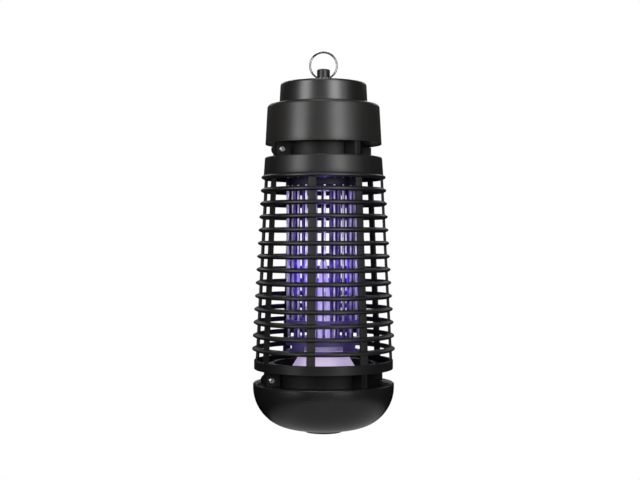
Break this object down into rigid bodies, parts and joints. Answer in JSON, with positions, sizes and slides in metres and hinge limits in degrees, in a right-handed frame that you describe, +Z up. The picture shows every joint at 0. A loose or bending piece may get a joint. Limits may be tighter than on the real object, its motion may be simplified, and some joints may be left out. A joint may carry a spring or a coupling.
{
  "type": "electric bug zapper",
  "caption": "Hanging lantern bug zapper: stepped cap with a wire ring, tapered slatted cage, rod grid round a violet lamp, and a twist-off rounded tray.",
  "frame": {"origin": "centre of the underside of the foot, on the lantern's axis", "axes": "+Z up along the lantern's axis; -Y is the front of the picture; the cord gland is at +Y"},
  "size_m": [0.105, 0.105, 0.2799],
  "materials": {
    "housing_black": "semi-gloss moulded black plastic",
    "tray_black": "semi-gloss moulded black plastic",
    "inner_black": "dull moulded black plastic",
    "foot_rubber": "dull black rubber",
    "ring_chrome": "bright plated wire",
    "screw_steel": "bright zinc plated",
    "grid_steel": "drawn bright steel rod",
    "contact_brass": "stamped brass",
    "pale_plastic": "pale heat-proof plastic",
    "lamp_glass": "violet lamp glass, lit",
    "board_green": "circuit board laminate",
    "core_ferrite": "dark ferrite and tape",
    "capacitor_red": "dipped film capacitor",
    "diode_black": "moulded epoxy",
    "terminal_green": "moulded terminal plastic",
    "lead_sheath": "insulated wire",
    "lead_pale": "insulated wire"
  },
  "bodies": {
    "cage": {"cage_collar": "housing_black", "cage_ribs": "housing_black", "cage_base": "housing_black", "lower_lock_screw": "screw_steel", "cage_slat_1": "housing_black", "cage_slat_2": "housing_black", "cage_slat_3": "housing_black", "cage_slat_4": "housing_black", "cage_slat_5": "housing_black", "cage_slat_6": "housing_black", "cage_slat_7": "housing_black", "cage_slat_8": "housing_black", "cage_slat_9": "housing_black", "cage_slat_10": "housing_black", "cage_slat_11": "housing_black", "cage_slat_12": "housing_black", "cage_slat_13": "housing_black", "cage_slat_14": "housing_black"},
    "head": {"hanger_post": "housing_black", "hanger_washer": "screw_steel", "hanger_nut": "screw_steel", "cap_top_shell": "housing_black", "cap_lower_shell": "housing_black", "cap_floor": "housing_black", "cap_screws": "screw_steel", "cord_gland": "housing_black", "gland_nut": "inner_black", "circuit_board": "board_green", "board_screws": "screw_steel", "hv_transformer": "core_ferrite", "capacitors": "capacitor_red", "diodes": "diode_black", "terminal_block": "terminal_green", "hv_leads": "lead_sheath", "upper_neck": "housing_black", "upper_lock_screw": "screw_steel", "grid_upper_holder": "inner_black", "holder_screws": "screw_steel", "live_rods": "grid_steel", "return_rods": "grid_steel", "guard_rods": "grid_steel", "live_contact_ring": "contact_brass", "return_contact_ring": "contact_brass", "grid_spacer_ring": "inner_black", "grid_lower_holder": "inner_black", "lead_tube": "inner_black", "lamp_leads": "lead_pale", "lamp_glass": "lamp_glass", "lamp_base": "contact_brass", "lamp_holder": "pale_plastic", "lamp_holder_screws": "screw_steel", "deflector_cone": "pale_plastic"},
    "ring": {"hanging_ring": "ring_chrome"},
    "tray": {"tray_neck": "tray_black", "tray_bowl": "tray_black", "tray_foot": "foot_rubber"}
  },
  "joints": [
    {"name": "ring_swing", "type": "hinge", "parent": "head", "child": "ring", "pos_m": [0, 0, 0.2594], "axis": [1, 0, 0], "range_deg": [-95, 95]},
    {"name": "cap_twist", "type": "hinge", "parent": "cage", "child": "head", "pos_m": [0, 0, 0.201], "axis": [0, 0, 1], "range_deg": [0, 35]},
    {"name": "tray_twist", "type": "hinge", "parent": "cage", "child": "tray", "pos_m": [0, 0, 0.046], "axis": [0, 0, 1], "range_deg": [-35, 0]}
  ]
}
